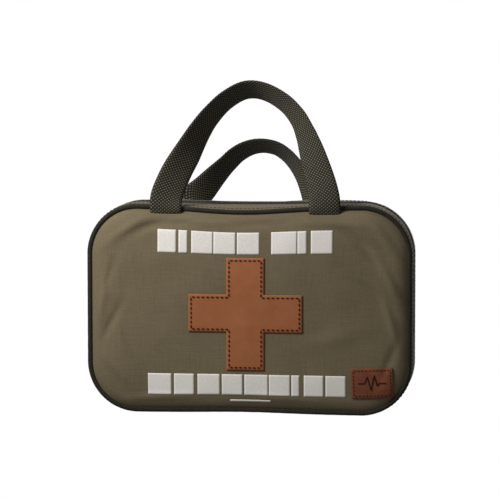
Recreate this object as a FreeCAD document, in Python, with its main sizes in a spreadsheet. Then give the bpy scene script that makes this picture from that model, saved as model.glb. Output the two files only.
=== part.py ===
import FreeCAD, Part
import math
import os

import Sketcher
from FreeCAD import Placement, Rotation, Vector

# A soft first aid bag: two padded canvas halves that close along a zip and fold open on the base.
# Millimetres. +Z is up, the front faces -Y, and the origin is the middle of the base, on the fold.
# An inset is measured in from the bag's outline, and a depth is measured out from the zip's plane.

DIMENSIONS = {
    "bag_width": 256.0,
    "bag_height": 165.0,
    "corner_radius": 40.0,
    "piping_radius": 2.0,
    "piping_depth": 36.0,
    "inset_none": 0.0,
    "inset_canvas": 1.4,
    "inset_panel": 4.1,
    "inset_foam": 5.0,
    "inset_lining": 3.0,
    "inset_binding": 1.5,
    "inset_binding_edge": 2.9,
    "inset_tape": 0.3,
    "inset_tape_inner": 1.1,
    "inset_coil": -0.5,
    "inset_coil_inner": 1.5,
    "depth_fold": 1.0,
    "depth_coil": 0.8,
    "depth_tape": 2.2,
    "depth_tape_edge": 5.1,
    "depth_gusset": 5.2,
    "depth_gusset_edge": 33.9,
    "depth_panel": 35.4,
    "depth_panel_face": 40.4,
    "depth_foam": 31.8,
    "depth_foam_edge": 35.3,
    "depth_lining": 30.9,
    "depth_lining_edge": 31.7,
    "depth_binding": 29.5,
    "depth_binding_edge": 30.8,
    "panel_round": 3.2,
    "zip_end_height": 6.0,
    "webbing_width": 25.0,
    "webbing": 1.6,
    "strap_spacing": 125.0,
    "strap_offset": -2.0,
    "back_strap_spacing": 100.0,
    "back_strap_offset": -5.0,
    "handle_rise": 85.0,
    "back_handle_rise": 47.0,
    "back_handle_bow": 26.0,
    "handle_plane": 40.6,
    "handle_axis_height": 167.2,
    "handle_end_gap": 2.0,
    "handle_roundness": 1.6,
    "handle_twist": 55.0,
    "anchor_foot": 161.2,
    "anchor_plane": 38.9,
    "leather": 1.6,
    "cross_span": 90.0,
    "cross_arm": 30.0,
    "cross_centre_x": -2.0,
    "cross_centre_z": 80.0,
    "label_width": 33.0,
    "label_height": 24.0,
    "label_centre_x": 97.5,
    "label_centre_z": 26.5,
    "label_tilt": 2.0,
    "print_film": 0.25,
    "slider_length": 12.0,
    "slider_width": 9.0,
    "sliders_meet": 82.0,
    "slider_face": 130.9,
    "pull_length": 13.5,
    "pull_width": 6.0,
    "pull_axis": 132.9,
    "pocket_width": 210.0,
    "pocket_film": 0.6,
    "pocket_foot": 7.6,
    "pack_foot": 8.8,
    "pocket_depth": 16.0,
    "mesh_pocket_top": 95.0,
    "clear_pocket_top": 76.0,
    "roll_foot": 84.0,
    "roll_radius": 13.2,
    "loop_foot": 104.0,
    "loop_height": 20.0,
    "loop_band": 1.0,
    "tape_centre_x": 18.0,
    "tape_centre_z": 128.0,
    "tape_depth": 18.0,
    "tape_width": 12.5,
    "tape_radius": 20.0,
    "core_radius": 11.4,
    "core_bore": 9.8,
    "scissors_x": 62.0,
    "scissors_z": 112.0,
    "scissors_depth": 24.0,
    "blade_thickness": 1.6,
    "tweezers_x": 96.0,
    "tweezers_foot": 78.0,
    "tweezers_length": 78.0,
}

doc = FreeCAD.newDocument("first_aid_bag")
sheet = doc.addObject("Spreadsheet::Sheet", "Dimensions")
for row, (alias, value) in enumerate(DIMENSIONS.items(), start=1):
    sheet.set("A%d" % row, alias)
    sheet.set("B%d" % row, str(value))
    sheet.setAlias("B%d" % row, alias)
doc.recompute()

NODES = []
SLIVER = 0.05


def cell(alias):
    return float(sheet.get(alias))


def node(feature, label):
    """Registers a finished sub-part under the name of its node."""
    feature.Label = label
    NODES.append(feature)
    return feature


def new_sketch(body, name, role, offset):
    """A sketch on an origin plane of its body, moved along the plane's normal by an expression."""
    sketch = body.newObject("Sketcher::SketchObject", name)
    plane = next(f for f in body.Origin.OriginFeatures if f.Role == role)
    sketch.AttachmentSupport = [(plane, "")]
    sketch.MapMode = "FlatFace"
    sketch.setExpression("AttachmentOffset.Base.z", offset)
    return sketch


def bind(sketch, constraint, expression):
    index = sketch.addConstraint(constraint)
    sketch.setExpression("Constraints[%d]" % index, expression)


def rounded_outline(sketch, inset):
    """The bag's outline, a rectangle with round corners, moved in by the inset's cell."""
    side = cell("bag_width") / 2 - cell(inset)
    low = cell(inset)
    high = cell("bag_height") - cell(inset)
    radius = cell("corner_radius") - cell(inset)
    across = side - radius
    turns = [(across, low + radius, -90), (across, high - radius, 0),
             (-across, high - radius, 90), (-across, low + radius, 180)]
    arcs = []
    for x, z, start in turns:
        circle = Part.Circle(Vector(x, z, 0), Vector(0, 0, 1), radius)
        arc = Part.ArcOfCircle(circle, math.radians(start), math.radians(start + 90))
        arcs.append(sketch.addGeometry(arc, False))
    for k, arc in enumerate(arcs):
        following = arcs[(k + 1) % 4]
        start = sketch.getPoint(arc, 2)
        end = sketch.getPoint(following, 1)
        line = sketch.addGeometry(Part.LineSegment(start, end), False)
        sketch.addConstraint(Sketcher.Constraint("Tangent", arc, 2, line, 1))
        sketch.addConstraint(Sketcher.Constraint("Tangent", line, 2, following, 1))
        sketch.addConstraint(Sketcher.Constraint("Vertical" if k % 2 == 0 else "Horizontal", line))
        if k:
            sketch.addConstraint(Sketcher.Constraint("Equal", arcs[0], arc))
    corner = "Dimensions.corner_radius - Dimensions.%s" % inset
    reach = "Dimensions.bag_width / 2 - Dimensions.corner_radius"
    bind(sketch, Sketcher.Constraint("Radius", arcs[0], radius), corner)
    bind(sketch, Sketcher.Constraint("DistanceX", -1, 1, arcs[0], 3, across), reach)
    bind(sketch, Sketcher.Constraint("DistanceY", -1, 1, arcs[0], 3, low + radius),
         "Dimensions.corner_radius")
    bind(sketch, Sketcher.Constraint("DistanceX", arcs[2], 3, -1, 1, across), reach)
    bind(sketch, Sketcher.Constraint("DistanceY", -1, 1, arcs[2], 3, high - radius),
         "Dimensions.bag_height - Dimensions.corner_radius")


def layer(label, half, near, far, outer, inner=None):
    """A sheet or a band that follows the bag's outline, between two depths of one half."""
    body = doc.addObject("PartDesign::Body", label + "_body")
    offset = "Dimensions.%s" % near if half == "front" else "-Dimensions.%s" % far
    sketch = new_sketch(body, label + "_outline", "XZ_Plane", offset)
    rounded_outline(sketch, outer)
    if inner:
        rounded_outline(sketch, inner)
    pad = body.newObject("PartDesign::Pad", label + "_pad")
    pad.Profile = sketch
    pad.setExpression("Length", "Dimensions.%s - Dimensions.%s" % (far, near))
    body.Label = label
    return body


def block(label, size, corner):
    """A Part::Box whose three sizes and corner are expressions or numbers."""
    box = doc.addObject("Part::Box", label)
    for name, value in zip(("Length", "Width", "Height"), size):
        box.setExpression(name, str(value))
    for name, value in zip("xyz", corner):
        box.setExpression("Placement.Base." + name, str(value))
    box.Label = label
    return box


def cut(label, base, tool):
    made = doc.addObject("Part::Cut", label + "_cut")
    made.Base = base
    made.Tool = tool
    return made


def common(label, base, tool):
    made = doc.addObject("Part::Common", label + "_common")
    made.Base = base
    made.Tool = tool
    return made


def fuse(label, shapes):
    made = doc.addObject("Part::MultiFuse", label + "_fuse")
    made.Shapes = shapes
    return made


def solid(label, shape, placement=None):
    """A sub-part whose form neither sketches nor primitives describe."""
    feature = doc.addObject("Part::Feature", label)
    feature.Shape = shape
    if placement:
        feature.Placement = placement
    return node(feature, label)


def side(half):
    """The sign of Y in a half of the bag."""
    return -1 if half == "front" else 1


def below_zip_end(label):
    """A box round everything that is lower than the zip's two ends."""
    return block(label, ("Dimensions.bag_width", 100, "Dimensions.zip_end_height + 1"),
                 ("-Dimensions.bag_width / 2", -50, -1))


def zip_band(label, half, near, far, outer, inner):
    """A band along the zip, which runs up one side, over the top and down the other."""
    ring = layer(label + "_ring", half, near, far, outer, inner)
    return node(cut(label, ring, below_zip_end(label + "_foot")), label)


def gusset(half):
    """The canvas band round the edge, with the flap that joins it to the fold under the bag."""
    label = half + "_gusset"
    band = layer(label + "_band", half, "depth_gusset", "depth_gusset_edge",
                 "inset_none", "inset_canvas")
    ring = layer(label + "_flap", half, "depth_fold", "depth_gusset", "inset_none", "inset_canvas")
    flap = common(label + "_base", ring, below_zip_end(label + "_low"))
    return node(fuse(label, [band, flap]), label)


def piping(half):
    """The round cord in its binding that edges the panel: four straight runs and four corners."""
    radius = cell("piping_radius")
    bend = cell("corner_radius") - radius
    across = cell("bag_width") / 2 - cell("corner_radius")
    low = cell("corner_radius")
    high = cell("bag_height") - cell("corner_radius")
    depth = side(half) * cell("piping_depth")
    corners = [Vector(across, depth, low), Vector(across, depth, high),
               Vector(-across, depth, high), Vector(-across, depth, low)]
    runs = []
    for k, corner in enumerate(corners):
        turn = Rotation(Vector(0, 1, 0), -90 * k)
        start = corner + turn.multVec(Vector(0, 0, -bend))
        end = corner + turn.multVec(Vector(bend, 0, 0))
        following = corners[(k + 1) % 4] + turn.multVec(Vector(bend, 0, 0))
        disc = Part.Face(Part.Wire(Part.Circle(start, turn.multVec(Vector(1, 0, 0)), radius).toShape()))
        runs.append(disc.revolve(corner, Vector(0, 1, 0), -90))
        runs.append(Part.makeCylinder(radius, (following - end).Length, end, following - end))
    return solid(half + "_piping", runs[0].multiFuse(runs[1:]))


def panel(half):
    """The padded outer face, with its edge rounded down to the piping."""
    body = layer(half + "_panel", half, "depth_panel", "depth_panel_face", "inset_panel")
    doc.recompute()
    face_y = side(half) * cell("depth_panel_face")
    pad = body.Tip
    names = []
    for k, edge in enumerate(pad.Shape.Edges, start=1):
        if abs(edge.BoundBox.YMin - face_y) < SLIVER and abs(edge.BoundBox.YMax - face_y) < SLIVER:
            names.append("Edge%d" % k)
    rounded = body.newObject("PartDesign::Fillet", half + "_panel_round")
    rounded.Base = (pad, names)
    rounded.setExpression("Radius", "Dimensions.panel_round")
    body.Tip = rounded
    return node(body, half + "_panel")


def handle_centre(share, reach, rise, bow):
    """A point of the arch, from its foot at share 0 to its foot at share 1. bow leans it outward."""
    power = 2 / cell("handle_roundness")
    turn = math.pi * (1 - share)
    sway = math.copysign(abs(math.cos(turn)) ** power, math.cos(turn))
    climb = abs(math.sin(turn)) ** power
    return Vector(reach * sway, bow * math.sin(0.85 * math.pi * climb), rise * climb)


def handle_section(share, *arch):
    """The strap's section, as a wire: level at the feet, its outer edge rolled forward at the top."""
    step = 0.004
    before = handle_centre(max(share - step, 0), *arch)
    after = handle_centre(min(share + step, 1), *arch)
    run = (after - before).normalize()
    if share < step or share > 1 - step:
        run = Vector(0, 0, 1 if share < 0.5 else -1)
    flat = run.cross(Vector(0, 1, 0)).normalize()
    twist = math.radians(cell("handle_twist")) * math.sin(math.pi * share) ** 2
    width = flat * math.cos(twist) - Vector(0, 1, 0) * math.sin(twist)
    thick = run.cross(width).normalize()
    half_width = width * (cell("webbing_width") / 2)
    half_thick = thick * (cell("webbing") / 2)
    middle = handle_centre(share, *arch)
    corners = [middle + half_width + half_thick, middle - half_width + half_thick,
               middle - half_width - half_thick, middle + half_width - half_thick]
    return Part.makePolygon(corners + corners[:1])


def handle(half, spacing, offset, rise, bow):
    """The free part of a webbing handle, above the line that it turns about."""
    count = 24
    sections = [handle_section(k / count, spacing / 2, rise, bow) for k in range(count + 1)]
    arch = Part.makeLoft(sections, True, True)
    base = Vector(offset, side(half) * cell("handle_plane"),
                  cell("handle_axis_height") + cell("handle_end_gap"))
    return solid(half + "_handle", arch, Placement(base, Rotation()))


def anchors(half):
    """The two strap ends that lie over the piping and are sewn into the seam under it."""
    which = "back_strap" if half == "back" else "strap"
    feet = []
    for name, sign in (("left", "-"), ("right", "+")):
        corner_y = "Dimensions.anchor_plane - Dimensions.webbing / 2"
        if half == "front":
            corner_y = "-Dimensions.anchor_plane - Dimensions.webbing / 2"
        corner_x = ("Dimensions.%s_offset %s Dimensions.%s_spacing / 2"
                    " - Dimensions.webbing_width / 2" % (which, sign, which))
        height = "Dimensions.handle_axis_height - Dimensions.handle_end_gap - Dimensions.anchor_foot"
        feet.append(block("%s_%s_foot" % (half, name),
                          ("Dimensions.webbing_width", "Dimensions.webbing", height),
                          (corner_x, corner_y, "Dimensions.anchor_foot")))
    group = doc.addObject("Part::Compound", half + "_anchor_group")
    group.Links = feet
    return node(group, half + "_handle_anchors")


for name in ("front", "back"):
    panel(name)
    node(layer(name + "_foam", name, "depth_foam", "depth_foam_edge", "inset_foam"), name + "_foam")
    node(layer(name + "_lining", name, "depth_lining", "depth_lining_edge", "inset_lining"),
         name + "_lining")
    node(layer(name + "_seam_binding", name, "depth_binding", "depth_binding_edge",
               "inset_binding", "inset_binding_edge"), name + "_seam_binding")
    piping(name)
    gusset(name)
    zip_band(name + "_zip_tape", name, "depth_tape", "depth_tape_edge",
             "inset_tape", "inset_tape_inner")
    zip_band(name + "_zip_coil", name, "depth_coil", "depth_tape", "inset_coil", "inset_coil_inner")
    anchors(name)

handle("front", cell("strap_spacing"), cell("strap_offset"), cell("handle_rise"), 0)
handle("back", cell("back_strap_spacing"), cell("back_strap_offset"), cell("back_handle_rise"),
       cell("back_handle_bow"))

# The fold under the bag is backed inside by a strip of webbing, sewn to the back half.
node(block("base_fold_binding", (170, 12, 1.2), (-85, 1.2, "Dimensions.inset_canvas + 0.1")),
     "base_fold_binding")


def on_front(label, boxes, thickness, depth):
    """A group of flat plates on the front: each is centre x, centre z, width, height."""
    plates = []
    for x, z, wide, high in boxes:
        corner = Vector(x - wide / 2, -depth - thickness, z - high / 2)
        plates.append(Part.makeBox(wide, thickness, high, corner))
    return solid(label, Part.makeCompound(plates))


def leather_cross():
    """The leather cross on the front panel."""
    body = doc.addObject("PartDesign::Body", "leather_cross_body")
    sketch = new_sketch(body, "cross_outline", "XZ_Plane", "Dimensions.depth_panel_face")
    arm = cell("cross_arm") / 2
    span = cell("cross_span") / 2
    middle_x = cell("cross_centre_x")
    middle_z = cell("cross_centre_z")
    outline = [(arm, arm), (span, arm), (span, -arm), (arm, -arm), (arm, -span), (-arm, -span),
               (-arm, -arm), (-span, -arm), (-span, arm), (-arm, arm), (-arm, span), (arm, span)]
    points = [Vector(middle_x + x, middle_z + z, 0) for x, z in outline]
    lines = []
    for start, end in zip(points, points[1:] + points[:1]):
        lines.append(sketch.addGeometry(Part.LineSegment(start, end), False))
    for k, line in enumerate(lines):
        sketch.addConstraint(Sketcher.Constraint("Coincident", line, 2, lines[(k + 1) % 12], 1))
        sketch.addConstraint(Sketcher.Constraint("Horizontal" if k % 2 == 0 else "Vertical", line))
    for k in (1, 4, 7, 10):
        bind(sketch, Sketcher.Constraint("Distance", lines[k], 2 * arm), "Dimensions.cross_arm")
    for k in (0, 3, 6, 9):
        bind(sketch, Sketcher.Constraint("Distance", lines[k], span - arm),
             "(Dimensions.cross_span - Dimensions.cross_arm) / 2")
    bind(sketch, Sketcher.Constraint("DistanceX", -1, 1, lines[0], 1, points[0].x),
         "Dimensions.cross_centre_x + Dimensions.cross_arm / 2")
    bind(sketch, Sketcher.Constraint("DistanceY", -1, 1, lines[0], 1, points[0].y),
         "Dimensions.cross_centre_z + Dimensions.cross_arm / 2")
    pad = body.newObject("PartDesign::Pad", "cross_pad")
    pad.Profile = sketch
    pad.setExpression("Length", "Dimensions.leather")
    return node(body, "leather_cross")


def stitch_run(start, end, pitch, length):
    """Stitches along a straight seam, as plates: centre x, centre z, width, height."""
    run = end - start
    count = max(1, round(run.Length / pitch))
    stitches = []
    for k in range(count):
        middle = start + run * ((k + 0.5) / count)
        upright = abs(run.y) > abs(run.x)
        wide, high = (0.6, length) if upright else (length, 0.6)
        stitches.append((middle.x, middle.y, wide, high))
    return stitches


def cross_stitching():
    """Thread stitches that run round the cross, just inside its edge."""
    margin = 2.4
    arm = cell("cross_arm") / 2 - margin
    span = cell("cross_span") / 2 - margin
    middle = Vector(cell("cross_centre_x"), cell("cross_centre_z"), 0)
    quarter = [Vector(arm, span, 0), Vector(arm, arm, 0), Vector(span, arm, 0), Vector(span, -arm, 0)]
    turn = Rotation(Vector(0, 0, 1), -90)
    stitches = []
    for _ in range(4):
        for start, end in zip(quarter, quarter[1:]):
            stitches += stitch_run(middle + start, middle + end, 4.4, 2.9)
        quarter = [turn.multVec(point) for point in quarter]
    on_front("cross_stitching", stitches, 0.3, cell("depth_panel_face") + cell("leather"))


def tilt_label(feature):
    """Turns a flat piece with the label, about the label's centre."""
    centre = Vector(cell("label_centre_x"), 0, cell("label_centre_z"))
    feature.Placement = Placement(Vector(), Rotation(Vector(0, 1, 0), -cell("label_tilt")), centre)


def label_pieces():
    """The small leather label, its stitching, and the pulse line pressed into it."""
    wide = cell("label_width")
    high = cell("label_height")
    x = cell("label_centre_x")
    z = cell("label_centre_z")
    depth = cell("depth_panel_face")
    plate = Part.makeBox(wide, cell("leather"), high,
                         Vector(x - wide / 2, -depth - cell("leather"), z - high / 2))
    corners = [edge for edge in plate.Edges if abs(edge.tangentAt(0).y) > 0.9]
    tilt_label(solid("leather_label", plate.makeFillet(1.5, corners)))
    half_wide = wide / 2 - 2.0
    half_high = high / 2 - 2.0
    corner = [Vector(x + a * half_wide, z + b * half_high, 0)
              for a, b in ((-1, -1), (1, -1), (1, 1), (-1, 1))]
    stitches = []
    for start, end in zip(corner, corner[1:] + corner[:1]):
        stitches += stitch_run(start, end, 3.2, 2.0)
    tilt_label(on_front("label_stitching", stitches, 0.3, depth + cell("leather")))


def printed_blocks():
    """Two rows of plain printed blocks above and below the cross, and one thin printed line."""
    upper = [(-63.8, 14.7), (-51.0, 7.0), (-36.0, 17.0), (-18.3, 17.4), (0.3, 17.6),
             (28.5, 20.2), (42.6, 7.2), (58.0, 17.0)]
    lower = [(-69.8, 18.6), (-50.5, 15.8), (-31.0, 17.6), (-12.3, 16.4), (6.6, 18.6),
             (25.0, 16.6), (37.5, 6.4), (51.8, 15.4), (69.0, 15.8)]
    depth = cell("depth_panel_face")
    film = cell("print_film")
    on_front("print_upper", [(x, 136.7, wide, 18.4) for x, wide in upper], film, depth)
    on_front("print_lower", [(x, 23.2, wide, 16.8) for x, wide in lower], film, depth)
    on_front("print_line", [(2.0, 10.1, 32.0, 1.6)], film, depth)


leather_cross()
cross_stitching()
label_pieces()
printed_blocks()


def bail_centre(sign):
    """The height of the line that a slider's pull turns about."""
    return cell("sliders_meet") + sign * (cell("slider_length") - 3.4)


def slider(label, sign):
    """A zip slider: a plate outside the coil, a plate inside it, the post between, and a bail."""
    meet = "Dimensions.sliders_meet"
    low = meet + " + 0.3" if sign > 0 else meet + " - 0.3 - Dimensions.slider_length"
    width = "Dimensions.slider_width"
    corner_y = "-Dimensions.slider_width / 2"
    face = "-Dimensions.slider_face"
    outer = block(label + "_outer", (2, width, "Dimensions.slider_length"), (face, corner_y, low))
    inner = block(label + "_inner", (1.2, width, "Dimensions.slider_length"), (-126.1, corner_y, low))
    post_low = low + (" + 0.5" if sign > 0 else " + Dimensions.slider_length - 2.5")
    post = block(label + "_post", (5, 1, 2), (-130, -0.5, post_low))
    bail = [block(label + "_bridge", (0.9, 1.8, 5.8), (-134.6, -0.9, bail_centre(sign) - 2.9))]
    for name, height in (("low", -2.9), ("high", 2.1)):
        bail.append(block("%s_%s_leg" % (label, name), (3.7, 1.8, 0.8),
                          (-134.6, -0.9, bail_centre(sign) + height)))
    return node(fuse(label, [outer, inner, post] + bail), label)


def pull(label, sign):
    """The flat tab that hangs from a slider's bail by its crossbar."""
    wide = cell("pull_width")
    thick = 1.2
    eye = 5.0
    length = cell("pull_length")
    axis = Vector(-cell("pull_axis"), 0, bail_centre(sign))
    shape = Part.makeCylinder(thick / 2, wide, axis - Vector(0, wide / 2, 0), Vector(0, 1, 0))
    plate = Part.makeBox(thick, wide, length, axis - Vector(thick / 2, wide / 2, length))
    window = Part.makeBox(4 * thick, 3.2, eye, axis - Vector(2 * thick, 1.6, eye))
    grip = Part.makeBox(4 * thick, 2.4, 4.6, axis - Vector(2 * thick, 1.2, length - 1.8))
    return solid(label, plate.cut(window).cut(grip).fuse(shape))


for name, sign in (("upper", 1), ("lower", -1)):
    slider("slider_" + name, sign)
    pull("pull_" + name, sign)


def group(label, features):
    """Several separate solids that share one node."""
    made = doc.addObject("Part::Compound", label + "_group")
    made.Links = features
    return node(made, label)


group("zip_end_stops", [block("stop_" + name, (3, 1.1, 1.8), (x, "Dimensions.depth_fold", 6.0))
                        for name, x in (("left", -105.5), ("right", 102.5))])


# What is inside: pockets and loops on the linings, and what they hold.

def pack(half, centre_x, wide, near, far, high, soft=0):
    """A pack that stands in a pocket of one half, between two depths, with its edges rounded."""
    sign = side(half)
    low = cell("pack_foot")
    corner = Vector(centre_x - wide / 2, min(sign * near, sign * far), low)
    shape = Part.makeBox(wide, far - near, high - low, corner)
    if soft:
        shape = shape.makeFillet(soft, shape.Edges)
    return shape


def pocket(label, half, top):
    """A flat pocket front that is sewn to the lining, with a hem along its open top."""
    near = "Dimensions.pocket_depth"
    low_y = near if half == "back" else "-Dimensions.pocket_depth - Dimensions.pocket_film"
    face = block(label + "_face", ("Dimensions.pocket_width", "Dimensions.pocket_film",
                                   top + " - Dimensions.pocket_foot"),
                 ("-Dimensions.pocket_width / 2", low_y, "Dimensions.pocket_foot"))
    depth = "Dimensions.depth_lining - Dimensions.pocket_depth - 0.1"
    wall_y = near if half == "back" else "-Dimensions.depth_lining + 0.1"
    walls = []
    for name, x in (("left", "-Dimensions.pocket_width / 2"),
                    ("right", "Dimensions.pocket_width / 2 - Dimensions.pocket_film")):
        walls.append(block("%s_%s_wall" % (label, name),
                           ("Dimensions.pocket_film", depth, top + " - Dimensions.pocket_foot"),
                           (x, wall_y, "Dimensions.pocket_foot")))
    floor = block(label + "_floor", ("Dimensions.pocket_width", depth, "Dimensions.pocket_film"),
                  ("-Dimensions.pocket_width / 2", wall_y, "Dimensions.pocket_foot"))
    node(fuse(label, [face, floor] + walls), label)


def hem(label, half, top):
    """The band along a pocket's open top."""
    near = "Dimensions.pocket_depth - 1.3"
    low_y = near if half == "back" else "-Dimensions.pocket_depth + 0.1"
    node(block(label, ("Dimensions.pocket_width", 1.2, 9),
               ("-Dimensions.pocket_width / 2", low_y, top + " - 9")), label)


pocket("front_mesh_pocket", "front", "Dimensions.mesh_pocket_top")
hem("mesh_pocket_elastic", "front", "Dimensions.mesh_pocket_top")
pocket("back_clear_pocket", "back", "Dimensions.clear_pocket_top")
hem("clear_pocket_hem", "back", "Dimensions.clear_pocket_top")

# Each pack: name, half, centre x, width, near depth, far depth, top, edge radius.
PACKS = [
    ("triangular_bandage", "front", -57.0, 84.0, 17.2, 30.4, 88.0, 3.0),
    ("thermal_blanket", "front", 57.0, 84.0, 17.2, 30.4, 80.0, 4.0),
    ("burn_dressing", "back", 73.0, 54.0, 24.5, 30.4, 66.0, 1.5),
    ("gloves_pack", "back", 73.0, 54.0, 17.2, 24.0, 62.0, 2.0),
]
for name, *size in PACKS:
    solid(name, pack(*size))


def stack(label, centre_x, wide, high, first, pitch, thick, count):
    """Identical flat packs, one behind another, in the back half's pocket."""
    stagger = 1.5
    packs = []
    for k in range(count):
        near = first + k * pitch
        packs.append(pack("back", centre_x, wide, near, near + thick, high - stagger * (k % 2)))
    return solid(label, Part.makeCompound(packs))


stack("gauze_pads", -62.0, 76.0, 74.0, 17.2, 2.6, 2.2, 5)
stack("plaster_strips", 6.0, 40.0, 62.0, 24.0, 1.0, 0.8, 6)
stack("cleansing_wipes", 6.0, 48.0, 56.0, 17.2, 1.6, 1.3, 4)


def upright(x, depth, low, length, outer, inner=0.0):
    """An upright cylinder or tube in the back half."""
    shape = Part.makeCylinder(outer, length, Vector(x, depth, low))
    if inner:
        shape = shape.cut(Part.makeCylinder(inner, length, Vector(x, depth, low)))
    return shape


# Each roll: centre x and length.
ROLL_ROW = {
    "bandage_roll_wide": (-84.0, 70.0),
    "bandage_roll_narrow": (-52.0, 50.0),
    "elastic_bandage": (-20.0, 66.0),
}
radius = cell("roll_radius")
band = cell("loop_band")
roll_depth = cell("depth_lining") - 0.2 - band - radius
for name, (x, length) in ROLL_ROW.items():
    solid(name, upright(x, roll_depth, cell("roll_foot"), length, radius))
loops = [upright(x, roll_depth, cell("loop_foot"), cell("loop_height"), radius + band, radius + 0.1)
         for x, _ in ROLL_ROW.values()]
solid("bandage_loops", Part.makeCompound(loops))


def spool(outer, bore):
    """A tube across the back half, on the tape's centre line."""
    centre = Vector(cell("tape_centre_x"), cell("tape_depth"), cell("tape_centre_z"))
    across = Vector(0, 1, 0)
    tube = Part.makeCylinder(outer, cell("tape_width"), centre, across)
    return tube.cut(Part.makeCylinder(bore, cell("tape_width"), centre, across))


def tape_hanger():
    """A short strap that passes through the tape's core and is sewn to the lining under it."""
    wide = 12.0
    thick = 1.0
    drop = 24.0
    left = cell("tape_centre_x") - wide / 2
    bar_z = cell("tape_centre_z") - thick / 2
    near = cell("tape_depth") - 2.2
    far = cell("depth_lining") - 0.2
    low = bar_z - drop
    bar = Part.makeBox(wide, far - near, thick, Vector(left, near, bar_z))
    face = Part.makeBox(wide, thick, drop, Vector(left, near, low))
    foot = Part.makeBox(wide, far - near, thick, Vector(left, near, low))
    return bar.fuse([face, foot])


solid("tape_roll", spool(cell("tape_radius"), cell("core_radius") + 0.1))
solid("tape_core", spool(cell("core_radius"), cell("core_bore")))
solid("tape_strap", tape_hanger())

RIVET_RADIUS = 1.45


def scissor_half(sign, depth):
    """One blade with its finger ring, on one side of the rivet."""
    pivot = Vector(cell("scissors_x"), depth, cell("scissors_z"))
    thick = cell("blade_thickness")
    across = Vector(0, 1, 0)
    points = [(-3.6 * sign, -2), (3.2 * sign, 4), (8.6 * sign, 16), (4.4 * sign, 17),
              (-0.6 * sign, 7), (-4.2 * sign, 3), (-4.6 * sign, -6), (-1.2 * sign, -44)]
    outline = [pivot + Vector(x, 0, z) for x, z in points]
    blade = Part.Face(Part.makePolygon(outline + outline[:1])).extrude(Vector(0, thick, 0))
    ring_at = pivot + Vector(10.5 * sign, 0, 27.0)
    shape = blade.fuse(Part.makeCylinder(11.8, thick, ring_at, across))
    shape = shape.cut(Part.makeCylinder(8.4, thick, ring_at, across))
    return shape.cut(Part.makeCylinder(RIVET_RADIUS + SLIVER, thick, pivot, across))


def scissor_rivet():
    """The rivet that joins the blades, with its head towards the zip."""
    head = 0.9
    centre = Vector(cell("scissors_x"), cell("scissors_depth"), cell("scissors_z"))
    across = Vector(0, 1, 0)
    shank = Part.makeCylinder(RIVET_RADIUS, 2 * cell("blade_thickness") + 0.1, centre, across)
    return shank.fuse(Part.makeCylinder(2 * RIVET_RADIUS, head, centre - across * head, across))


solid("scissors_blade_left", scissor_half(-1, cell("scissors_depth")))
solid("scissors_blade_right", scissor_half(1, cell("scissors_depth") + cell("blade_thickness") + 0.1))
solid("scissors_rivet", scissor_rivet())


def bent_tweezers():
    """The tweezers are one bent strip: two arms joined at the top."""
    wide = 7.0
    thick = 1.0
    gap = 2.2
    near = 25.4
    low = cell("tweezers_foot")
    high = low + cell("tweezers_length") - thick
    left = cell("tweezers_x") - wide / 2
    first = Part.makeBox(wide, thick, cell("tweezers_length"), Vector(left, near, low))
    second = Part.makeBox(wide, thick, cell("tweezers_length"), Vector(left, near + thick + gap, low))
    bend = Part.makeBox(wide, 2 * thick + gap, thick, Vector(left, near, high))
    return first.fuse([second, bend])


solid("tweezers", bent_tweezers())


def flat_loop(x, wide, low):
    """An elastic loop round a flat tool, sewn to the lining at both ends."""
    height = 14.0
    near = 22.2
    elastic = 0.8
    far = cell("depth_lining") - 0.1
    left = x - wide / 2
    outer = Part.makeBox(wide, far - near, height, Vector(left, near, low))
    room = Part.makeBox(wide - 2, far - near - elastic, height, Vector(left + 1, near + elastic, low))
    return outer.cut(room)


solid("tool_loops", Part.makeCompound([flat_loop(cell("scissors_x"), 13.0, 78.0),
                                       flat_loop(cell("tweezers_x"), 11.0, 108.0)]))

doc.recompute()
for item in doc.Objects:
    if "Invalid" in item.State or "Error" in item.State:
        raise RuntimeError("%s is %s" % (item.Label, item.State))
for item in NODES:
    if item.Shape.isNull() or not item.Shape.isValid() or not item.Shape.Solids:
        raise RuntimeError("%s has no valid solid" % item.Label)

os.makedirs("parts", exist_ok=True)
for item in NODES:
    item.Shape.exportStep("parts/%s.step" % item.Label)
    box = item.Shape.BoundBox
    print("%-22s %2d solids %9.0f mm3  x %6.1f %6.1f  y %6.1f %6.1f  z %6.1f %6.1f" % (
        item.Label, len(item.Shape.Solids), item.Shape.Volume, box.XMin, box.XMax,
        box.YMin, box.YMax, box.ZMin, box.ZMax))
print(len(NODES), "nodes")
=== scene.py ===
"""The looks of a soft first aid bag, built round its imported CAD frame. Metres, +Z up, front to -Y."""
import math
import random

import bpy
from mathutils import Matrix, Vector, noise


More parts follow.
